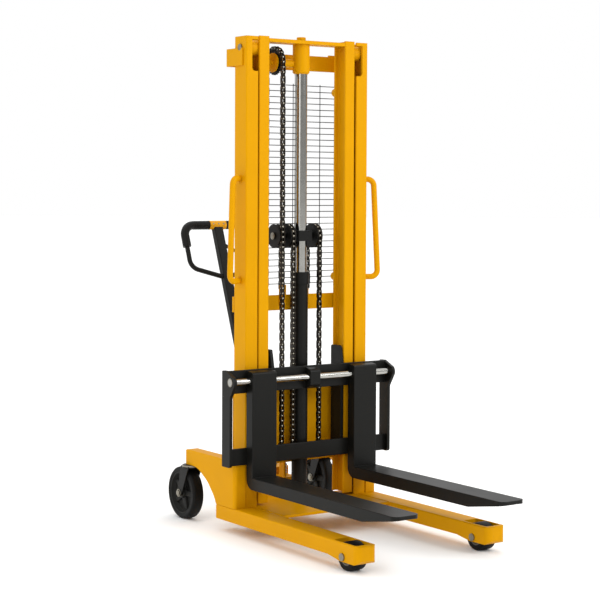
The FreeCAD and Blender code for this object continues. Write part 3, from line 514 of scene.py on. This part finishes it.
def run_of_chain(points, first_outer):
    """Links through points, outer and inner in turn. Returns the bmesh and whether the next is outer."""
    bm = bmesh.new()
    cache = {}
    outer = first_outer
    for a, b in zip(points, points[1:]):
        span = (b - a).length
        key = (outer, round(span, 5))
        if key not in cache:
            cache[key] = link_mesh(outer, span)
        start = len(bm.verts)
        bm.from_mesh(cache[key])
        bm.verts.ensure_lookup_table()
        y = (b - a).normalized()
        z = X_AXIS.cross(y)
        place = Matrix.Translation(a) @ Matrix((X_AXIS, y, z)).transposed().to_4x4()
        bmesh.ops.transform(bm, matrix=place, verts=bm.verts[start:])
        outer = not outer
    for mesh in cache.values():
        bpy.data.meshes.remove(mesh)
    return bm, outer


def strand_points(top, bottom_z):
    """Joints from the top down, at the chain's pitch, with the last one at the anchor."""
    count = max(1, round((top.z - bottom_z) / sizes().pitch))
    return [Vector((top.x, top.y, top.z + (bottom_z - top.z) * i / count)) for i in range(count + 1)]


def wrap_points(middle, radius):
    """Joints over the top of a wheel, from its front to its back."""
    count = max(3, round(math.pi * radius / sizes().pitch))
    return [middle + Vector((0, -radius * math.cos(math.pi * i / count), radius * math.sin(math.pi * i / count)))
            for i in range(count + 1)]


class STACKER_OT_chains(bpy.types.Operator):
    """Builds the three roller chains link by link"""
    bl_idname = "stacker.chains"
    bl_label = "Chains"

    def execute(self, context):
        s = sizes()
        made = finishes()
        metals = [made["oiled_chain_steel"], made["polished_pin_steel"]]
        bar_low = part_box("lower_crossbar")[0]
        lug_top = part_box("low_rail")[1].z
        end_gap = s.plate_height / 2
        wheels = {
            "right": (centre("right_chain_pulley"), s.pulley_pitch, bar_low.z + s.stud_top),
            "left": (centre("left_chain_pulley"), s.pulley_pitch, bar_low.z + s.stud_top),
            "third": (centre("top_sprocket"), s.sprocket_pitch, bar_low.z + s.third_anchor),
        }
        for name, (middle, radius, anchor) in wheels.items():
            over = wrap_points(middle, radius)
            bm, outer = run_of_chain(over, True)
            wrap = finish_piece(name + "_chain_wrap", bm, metals, "inner_mast", fix_normals=False)
            # the load strand hangs between the wheel and the carriage, and shortens as the carriage rises
            bm, _ = run_of_chain(strand_points(over[0], lug_top + end_gap), False)
            load = finish_piece(name + "_chain_load", bm, metals, "inner_mast", fix_normals=False)
            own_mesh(load)
            # the anchored strand runs from the frame to the wheel, and lengthens as the mast rises
            bm, _ = run_of_chain(strand_points(over[-1], anchor + end_gap), outer)
            held = finish_piece(name + "_chain_anchored", bm, metals, "frame", fix_normals=False)
            held.parent = None
            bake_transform(held)
            if name == "right":
                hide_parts("chain_fronts")
                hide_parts("chain_rears")
        return {"FINISHED"}


# ---------------------------------------------------------------- wheels

def spoked_wheel(bm, middle, radius, half, spokes):
    """A tread with round shoulders on a cast centre with a rim, webbed spokes and a bored hub."""
    bed = radius * TREAD_BED
    tread = [(-half * 0.90, bed), (-half, bed + 0.005), (-half, radius - 0.009), (-half * 0.93, radius - 0.004),
             (-half * 0.78, radius - 0.001), (-half * 0.5, radius), (half * 0.5, radius),
             (half * 0.78, radius - 0.001), (half * 0.93, radius - 0.004), (half, radius - 0.009),
             (half, bed + 0.005), (half * 0.90, bed)]
    turned(bm, tread, middle, X_AXIS, 72, 0)
    rim = [(-half * 0.86, bed + 0.0008), (-half * 0.94, bed - 0.001), (-half * 0.92, bed - 0.005),
           (-half * 0.45, bed - 0.008), (-half * 0.2, bed - 0.013), (half * 0.2, bed - 0.013),
           (half * 0.45, bed - 0.008), (half * 0.92, bed - 0.005), (half * 0.94, bed - 0.001),
           (half * 0.86, bed + 0.0008)]
    turned(bm, rim, middle, X_AXIS, 72, 1)
    # a thin web closes the centre between the spokes
    web = [(-0.003, 0.0215), (-0.003, bed - 0.012), (0.003, bed - 0.012), (0.003, 0.0215)]
    turned(bm, web, middle, X_AXIS, 48, 1)
    hub = [(-half - 0.001, 0.0085), (-half - 0.001, 0.0165), (-half + 0.002, 0.0205), (-half * 0.5, 0.0225),
           (half * 0.5, 0.0225), (half - 0.002, 0.0205), (half + 0.001, 0.0165), (half + 0.001, 0.0085)]
    turned(bm, hub, middle, X_AXIS, 40, 1)
    seal = [(-half - 0.0016, 0.009), (-half - 0.0016, 0.0145), (-half - 0.0004, 0.0148), (-half - 0.0004, 0.009)]
    turned(bm, seal, middle, X_AXIS, 32, 2)
    turned(bm, [(-a, r) for a, r in seal], middle, X_AXIS, 32, 2)
    root, spoke_width, spoke_length = 0.018, 0.016, bed - 0.028
    for i in range(spokes):
        spoke = bmesh.new()
        bmesh.ops.create_cube(spoke, size=1.0)
        bmesh.ops.scale(spoke, verts=spoke.verts, vec=(half * 0.9, spoke_width, spoke_length))
        bmesh.ops.translate(spoke, verts=spoke.verts, vec=(0, 0, spoke_length / 2 + root))
        # a spoke flares where it leaves the hub
        for v in spoke.verts:
            if v.co.z < 0.03:
                v.co.y *= 1.5
                v.co.x *= 1.35
        soften(spoke, spoke.edges[:], 0.003)
        turn = Matrix.Translation(middle) @ Matrix.Rotation(2 * math.pi * (i + 0.25) / spokes, 4, "X")
        join(bm, spoke, turn, 1)


class STACKER_OT_caster_wheels(bpy.types.Operator):
    """Builds the two swivel wheels"""
    bl_idname = "stacker.caster_wheels"
    bl_label = "Caster wheels"

    def execute(self, context):
        made = finishes()
        for side in ("left", "right"):
            node = side + "_caster_wheel"
            low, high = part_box(node)
            bm = bmesh.new()
            spoked_wheel(bm, (low + high) / 2, (high.z - low.z) / 2, (high.x - low.x) / 2 - 0.001, 5)
            finish_piece(side + "_caster_tyre", bm,
                         [made["cast_polyurethane"], made["primed_cast_iron"], made["zinc_plating"]],
                         node, (node,))
        return {"FINISHED"}


class STACKER_OT_load_wheels(bpy.types.Operator):
    """Builds the two load wheels in the legs"""
    bl_idname = "stacker.load_wheels"
    bl_label = "Load wheels"

    def execute(self, context):
        made = finishes()
        for side in ("left", "right"):
            node = side + "_load_wheel"
            low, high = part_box(node)
            middle, radius, half = (low + high) / 2, (high.z - low.z) / 2, (high.x - low.x) / 2
            bm = bmesh.new()
            tread = [(-half, 0.030), (-half, radius - 0.005), (-half + 0.0015, radius - 0.0015),
                     (-half + 0.005, radius), (half - 0.005, radius), (half - 0.0015, radius - 0.0015),
                     (half, radius - 0.005), (half, 0.030)]
            turned(bm, tread, middle, X_AXIS, 64, 0)
            core = [(-half + 0.002, 0.0115), (-half + 0.002, 0.024), (-half, 0.0255), (-half, 0.0305),
                    (half, 0.0305), (half, 0.0255), (half - 0.002, 0.024), (half - 0.002, 0.0115)]
            turned(bm, core, middle, X_AXIS, 48, 1)
            finish_piece(side + "_load_tyre", bm, [made["cast_polyurethane"], made["turned_steel"]], node,
                         (node,))
        return {"FINISHED"}


class STACKER_OT_caster_dress(bpy.types.Operator):
    """Adds the dust rings and axle nuts of the casters"""
    bl_idname = "stacker.caster_dress"
    bl_label = "Caster fittings"

    def execute(self, context):
        made = finishes()
        for side in ("left", "right"):
            body = side + "_caster_yoke"
            low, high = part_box(body)
            pin = joint(side + "_caster_swivel")["pos_m"]
            hub = centre(side + "_caster_wheel")
            bm = bmesh.new()
            ring = [(-0.0065, 0.0345), (-0.0065, 0.0372), (-0.0030, 0.0382), (-0.0008, 0.0360), (-0.0008, 0.0345)]
            turned(bm, ring, pin, Z_AXIS, 48)
            # an axle nut on its washer, flush with the yoke's widest face
            washer_base, washer_face = 0.0052, 0.0036
            for face, way in ((high.x, X_AXIS), (low.x, -X_AXIS)):
                seat = Vector((face, hub.y, hub.z))
                stem(bm, seat - way * washer_base, seat - way * washer_face, 0.0150, 32, bevel=0.0004)
                stem(bm, seat - way * washer_face, seat - way * GAP, 0.0118, 6, bevel=CHAMFER)
            finish_piece(side + "_caster_fittings", bm, [made["zinc_plating"]], body)
        return {"FINISHED"}


# ---------------------------------------------------------------- pump and tiller

class STACKER_OT_pump(bpy.types.Operator):
    """Builds the pump's return spring and the fittings on its body"""
    bl_idname = "stacker.pump"
    bl_label = "Pump"

    def execute(self, context):
        s = sizes()
        made = finishes()
        low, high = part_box("pump_spring")
        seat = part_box("pump_plunger")
        middle = (low + high) / 2
        middle.xy = ((seat[0] + seat[1]) / 2).xy
        coil = 0.0128
        turns, steps = 8, 24
        bm = bmesh.new()
        rise = high.z - low.z - 2 * s.wire
        start = Vector((middle.x + coil, middle.y, low.z + s.wire))
        ring = bmesh.ops.create_circle(bm, segments=10, radius=s.wire,
                                       matrix=frame_matrix(start, Y_AXIS, Z_AXIS))["verts"]
        edges = list({e for v in ring for e in v.link_edges})
        bmesh.ops.spin(bm, geom=ring + edges, cent=middle, axis=(0, 0, 1), angle=2 * math.pi * turns,
                       steps=turns * steps, dvec=(0, 0, rise / (turns * steps)))
        bmesh.ops.holes_fill(bm, edges=[e for e in bm.edges if e.is_boundary], sides=12)
        spring = finish_piece("pump_return_spring", bm, [made["turned_steel"]], "frame",
                              ("pump_spring",))
        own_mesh(spring)

        # filler plug, drain screw and the lowering valve's spindle on the oil tank
        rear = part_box("pump_body")[1].y
        bm = bmesh.new()
        fill = Vector((0.030, rear - 0.050, TANK_TOP))
        stem(bm, fill, fill + Z_AXIS * 0.004, 0.013, 28, bevel=0.0008)
        stem(bm, fill + Z_AXIS * 0.004, fill + Z_AXIS * 0.013, 0.009, 6, bevel=0.0008)
        bolt(bm, (-0.030, rear, 0.120), Y_AXIS, FRAME_BOLT)
        valve = Vector((0.022, rear - 0.0005, 0.150))
        stem(bm, valve, valve + Y_AXIS * 0.010, 0.010, 28, bevel=0.0008)
        stem(bm, valve + Y_AXIS * 0.010, valve + Y_AXIS * 0.022, 0.005, 16, bevel=CHAMFER)
        for x in (-0.050, 0.050):
            for y in (rear - 0.100, rear - 0.018):
                bolt(bm, (x, y, TANK_TOP), Z_AXIS, TANK_BOLT, washer=False)
        finish_piece("pump_fittings", bm, [made["zinc_plating"]], "frame")
        return {"FINISHED"}


class STACKER_OT_tiller(bpy.types.Operator):
    """Adds ribs and lips to the hand grips, a knob to the lever and screws to the tiller"""
    bl_idname = "stacker.tiller"
    bl_label = "Tiller fittings"

    def execute(self, context):
        s = sizes()
        made = finishes()
        low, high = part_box("grip_collar")
        grip = (low + high) / 2
        bm = bmesh.new()
        radius, first_rib, rib_step = 0.017, 0.048, 0.0075
        for side in (-1, 1):
            for i in range(9):
                at = Vector((side * (first_rib + rib_step * i), grip.y, grip.z))
                rib = [(-0.0018, radius - 0.001), (-0.0010, radius + s.rib), (0.0010, radius + s.rib),
                       (0.0018, radius - 0.001)]
                turned(bm, rib, at, X_AXIS, 32)
            lip = [(-0.0025, radius - 0.002), (-0.0022, radius + 0.0008), (0.0, radius + 0.0009),
                   (0.0022, radius + 0.0008), (0.0025, radius - 0.002)]
            turned(bm, lip, (side * (high.x + 0.0027), grip.y, grip.z), X_AXIS, 40)
        finish_piece("grip_ribs", bm, [made["dipped_vinyl"]], "tiller")

        # the collar is two half shells held by three small screws
        bm = bmesh.new()
        out = Vector((0, -0.93, 0.36))
        for x in (-0.024, 0.0, 0.024):
            at = Vector((x, grip.y - 0.0162, grip.z + 0.0062))
            stem(bm, at, at + out * 0.0016, 0.0032, 16, bevel=0.0004)
        finish_piece("collar_screws", bm, [made["zinc_plating"]], "tiller")

        # the lever turns on a nut, and a dipped knob covers its tip
        lever = joint("lever_squeeze")
        hinge, axis = Vector(lever["pos_m"]), Vector(lever["axis"]).normalized()
        bm = bmesh.new()
        stem(bm, hinge - axis * 0.0035, hinge - axis * 0.0095, 0.0065, 6, bevel=CHAMFER)
        finish_piece("lever_nut", bm, [made["zinc_plating"]], "tiller")
        tip = max((v.co for v in frame["nodes"]["release_lever"].data.vertices), key=lambda c: c.x).copy()
        bm = bmesh.new()
        along = tip - hinge
        along -= axis * along.dot(axis)
        knob = hinge + along.normalized() * (along.length - 0.012)
        profile = [(-0.020, 0.0012), (-0.020, 0.0070), (-0.015, 0.0088), (-0.006, 0.0096), (0.004, 0.0100),
                   (0.010, 0.0088), (0.0135, 0.0060), (0.0148, 0.0012)]
        turned(bm, profile, knob, along, 28)
        finish_piece("lever_knob", bm, [made["dipped_vinyl"]], "release_lever")

        # snap rings at the ends of the tiller's pin
        pivot = joint("tiller_pump")["pos_m"]
        bm = bmesh.new()
        for sign in (-1, 1):
            seat = Vector((sign * 0.042, pivot[1], pivot[2]))
            stem(bm, seat, seat + X_AXIS * sign * 0.0015, 0.0085, 28, bevel=0.0004)
        finish_piece("pivot_rings", bm, [made["turned_steel"]], "frame")
        return {"FINISHED"}


# ---------------------------------------------------------------- hardware and welds

class STACKER_OT_hardware(bpy.types.Operator):
    """Adds the bolts, nuts and chain anchors"""
    bl_idname = "stacker.hardware"
    bl_label = "Bolts and anchors"

    def execute(self, context):
        zinc = [finishes()["zinc_plating"]]
        s = sizes()

        # frame: brace, crossbar and rear panel
        bm = bmesh.new()
        low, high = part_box("upper_brace")
        for sign in (-1, 1):
            for z in (low.z + 0.016, high.z - 0.018):
                bolt(bm, (sign * BRACE_BOLT_X, high.y, z), Y_AXIS, BRACE_BOLT)
        low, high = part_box("rear_panel")
        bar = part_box("lower_crossbar")[0].z
        for rows, y in (((bar + 0.015, bar + 0.042), high.y + 0.008),
                        ((low.z + 0.030, high.z - 0.030), high.y)):
            for sign in (-1, 1):
                for z in rows:
                    bolt(bm, (sign * FRAME_BOLT_X, y, z), Y_AXIS, FRAME_BOLT)
        finish_piece("frame_bolts", bm, zinc, "frame")

        # carriage: studs and nuts through the chain lugs, circlips on the fork bar
        bm = bmesh.new()
        low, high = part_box("low_rail")
        lug_base = high.z - 0.028
        for name, radius in (("right_chain_pulley", s.pulley_pitch), ("left_chain_pulley", s.pulley_pitch),
                             ("top_sprocket", s.sprocket_pitch)):
            wheel = centre(name)
            x, y = wheel.x, wheel.y - radius
            stem(bm, (x, y, lug_base - 0.020), (x, y, lug_base + 0.002), 0.005, 14, bevel=CHAMFER)
            stem(bm, (x, y, lug_base - 0.009), (x, y, lug_base - 0.0004), 0.0085, 6, bevel=CHAMFER)
            stem(bm, (x, y, high.z + GAP), (x, y, high.z + 0.006), 0.0030, 14, bevel=CHAMFER)
        low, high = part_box("fork_bar")
        bar = (low + high) / 2
        for sign in (-1, 1):
            face = sign * (high.x - 0.001)
            ring = [(-0.0001, 0.0128), (-0.0001, 0.0158), (0.0009, 0.0158), (0.0009, 0.0128)]
            turned(bm, [(a * sign, r) for a, r in ring], (face, bar.y, bar.z), X_AXIS, 36)
        finish_piece("carriage_fittings", bm, zinc, "carriage")

        # inner mast: washer under the cap, snap rings at the crosshead axle
        bm = bmesh.new()
        cap = centre("rod_cap_nut")
        cap.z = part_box("rod_cap_nut")[0].z
        washer = [(0.0, 0.0125), (0.0, 0.0225), (0.0022, 0.0225), (0.0022, 0.0125)]
        turned(bm, washer, cap, Z_AXIS, 40)
        head = centre("right_chain_pulley")
        for face in [corner.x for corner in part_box("crosshead")]:
            stem(bm, (face - 0.0008, head.y, head.z), (face + 0.0008, head.y, head.z), 0.0135, 28, bevel=0.0003)
        finish_piece("inner_mast_fittings", bm, zinc, "inner_mast")
        return {"FINISHED"}


class STACKER_OT_welds(bpy.types.Operator):
    """Lays the visible weld beads, under the paint"""
    bl_idname = "stacker.welds"
    bl_label = "Welds"

    def execute(self, context):
        made = finishes()
        r = sizes().bead
        bm = bmesh.new()
        # side handles to the masts
        for side, sign in (("left", -1), ("right", 1)):
            low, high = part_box(side + "_side_handle")
            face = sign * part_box("right_outer_mast")[1].x
            for z in (low.z + 0.014, high.z - 0.014):
                bead_ring(bm, (face, high.y - 0.0125, z), X_AXIS, 0.0125, r * 0.8)
        # base plate to the legs, lower crossbar to the masts
        low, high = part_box("base_plate")
        mast_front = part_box("right_outer_mast")[0].y
        for sign in (-1, 1):
            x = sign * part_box("right_leg")[0].x
            bead(bm, (x, low.y + 0.004, high.z), (x, mast_front - 0.004, high.z), r * 0.8)
        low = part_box("lower_crossbar")[0]
        y = low.y + 0.006
        for sign in (-1, 1):
            for z in (low.z, low.z + 0.057):
                bead(bm, (sign * mast_tip(), y, z), (sign * 0.272, y, z), r * 0.7)
        # cylinder foot
        foot = centre("cylinder_barrel")
        foot.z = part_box("cylinder_barrel")[0].z + 0.001
        bead_ring(bm, foot, Z_AXIS, 0.037, r * 0.9)
        finish_piece("frame_welds", bm, [made["yellow_powder_coat"]], "frame", smooth=80)

        bm = bmesh.new()
        # carriage rails to the side plates
        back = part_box("low_rail")[1].y - 0.024
        for rail in ("top_rail", "low_rail"):
            low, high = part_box(rail)
            for sign in (-1, 1):
                x = sign * (high.x - 0.001)
                bead(bm, (x, back - 0.012, low.z + 0.004), (x, back - 0.012, high.z - 0.004), r * 0.7)
        finish_piece("carriage_welds", bm, [made["charcoal_powder_coat"]], "carriage", smooth=80)
        return {"FINISHED"}


def mast_tip():
    """Centre line to the open side of the outer mast's channels."""
    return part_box("right_inner_mast")[0].x + 0.051


# ---------------------------------------------------------------- stage

class STACKER_OT_stage(bpy.types.Operator):
    """Sets the floor, the light and the camera"""
    bl_idname = "stacker.stage"
    bl_label = "Stage"

    def execute(self, context):
        scene = context.scene
        stage = scene.stacker_stage
        bm = bmesh.new()
        bmesh.ops.create_circle(bm, cap_ends=True, segments=64, radius=FLOOR_RADIUS)
        mesh = bpy.data.meshes.new("floor")
        bm.to_mesh(mesh)
        bm.free()
        floor = bpy.data.objects.new("floor", mesh)
        scene.collection.objects.link(floor)
        material, _, surface, _ = new_material("studio_floor")
        surface.inputs["Base Color"].default_value = rgba(colours().floor)
        surface.inputs["Roughness"].default_value = 0.9
        surface.inputs["Specular IOR Level"].default_value = 0.1
        mesh.materials.append(material)

        # plain display of the colours, so that paint looks as it was mixed
        scene.view_settings.view_transform = "Standard"
        world = bpy.data.worlds.new("studio")
        scene.world = world
        world.use_nodes = True
        tree = world.node_tree
        back = tree.nodes["Background"]
        back.inputs["Color"].default_value = (1, 1, 1, 1)
        # an even white wall behind, a brighter ceiling, and a dimmer room in front that metal can mirror
        way = add(tree, "ShaderNodeSeparateXYZ",
                  links={"Vector": add(tree, "ShaderNodeTexCoord").outputs["Generated"]})
        wall = add(tree, "ShaderNodeMapRange", {"interpolation_type": "SMOOTHSTEP"},
                   {"From Min": -0.45, "From Max": 0.1, "To Min": stage.sky * stage.room, "To Max": stage.sky},
                   {"Value": way.outputs["Y"]})
        high = add(tree, "ShaderNodeMapRange", {"interpolation_type": "SMOOTHSTEP"},
                   {"From Min": 0.25, "From Max": 0.6}, {"Value": way.outputs["Z"]})
        total = add(tree, "ShaderNodeMix", {"data_type": "FLOAT"}, {"B": stage.sky * stage.ceiling},
                    {"Factor": high.outputs["Result"], "A": wall.outputs["Result"]})
        tree.links.new(total.outputs["Result"], back.inputs["Strength"])

        for name, place, aim, size, share in (
                ("key", (2.6, -4.6, 3.6), (0.0, 0.1, 0.8), 2.2, 1.0),
                ("fill", (-4.4, -2.6, 2.4), (0.0, 0.1, 0.8), 2.6, 0.28),
                ("top", (0.4, 1.4, 4.6), (0.0, 0.2, 0.6), 2.4, 0.2)):
            lamp = bpy.data.lights.new(name, "AREA")
            lamp.energy = stage.light * share
            lamp.size = size
            light = bpy.data.objects.new(name, lamp)
            light.location = place
            light.rotation_euler = (Vector(aim) - Vector(place)).to_track_quat("-Z", "Y").to_euler()
            scene.collection.objects.link(light)

        flat = math.cos(stage.pitch)
        forward = Vector((math.sin(stage.yaw) * flat, math.cos(stage.yaw) * flat, math.sin(stage.pitch)))
        level = Vector((math.cos(stage.yaw), -math.sin(stage.yaw), 0))
        right = level * math.cos(stage.roll) + level.cross(forward) * math.sin(stage.roll)
        rise = right.cross(forward)
        lens = bpy.data.cameras.new("camera")
        lens.sensor_width = 36.0
        lens.lens = stage.lens
        lens.shift_y = stage.shift
        lens.clip_end = 200.0
        camera = bpy.data.objects.new("camera", lens)
        camera.matrix_world = Matrix.Translation(stage.eye) @ Matrix((right, rise, -forward)).transposed().to_4x4()
        scene.collection.objects.link(camera)
        scene.camera = camera
        return {"FINISHED"}


# ---------------------------------------------------------------- panel and registration

STEPS = (STACKER_OT_finishes, STACKER_OT_chains, STACKER_OT_caster_wheels, STACKER_OT_load_wheels,
         STACKER_OT_caster_dress, STACKER_OT_pump, STACKER_OT_tiller, STACKER_OT_hardware, STACKER_OT_welds,
         STACKER_OT_stage)


class STACKER_PT_panel(bpy.types.Panel):
    """Lists the steps, sizes and colours"""
    bl_label = "Walkie stacker"
    bl_idname = "STACKER_PT_panel"
    bl_space_type = "VIEW_3D"
    bl_region_type = "UI"
    bl_category = "Stacker"

    def draw(self, context):
        for step in STEPS:
            self.layout.operator(step.bl_idname)
        for group in (context.scene.stacker_sizes, context.scene.stacker_colours, context.scene.stacker_stage):
            for key in group.bl_rna.properties.keys():
                if key not in ("rna_type", "name"):
                    self.layout.prop(group, key)


CLASSES = (StackerColours, StackerSizes, StackerStage) + STEPS + (STACKER_PT_panel,)


def register():
    for cls in CLASSES:
        bpy.utils.register_class(cls)
    bpy.types.Scene.stacker_colours = bpy.props.PointerProperty(type=StackerColours)
    bpy.types.Scene.stacker_sizes = bpy.props.PointerProperty(type=StackerSizes)
    bpy.types.Scene.stacker_stage = bpy.props.PointerProperty(type=StackerStage)


def unregister():
    del bpy.types.Scene.stacker_stage
    del bpy.types.Scene.stacker_sizes
    del bpy.types.Scene.stacker_colours
    for cls in reversed(CLASSES):
        bpy.utils.unregister_class(cls)


def main():
    register()
    bpy.ops.stacker.stage()
    bpy.ops.stacker.finishes()
    bpy.ops.stacker.chains()
    bpy.ops.stacker.caster_wheels()
    bpy.ops.stacker.load_wheels()
    bpy.ops.stacker.caster_dress()
    bpy.ops.stacker.pump()
    bpy.ops.stacker.tiller()
    bpy.ops.stacker.hardware()
    bpy.ops.stacker.welds()


if __name__ == "__main__":
    main()
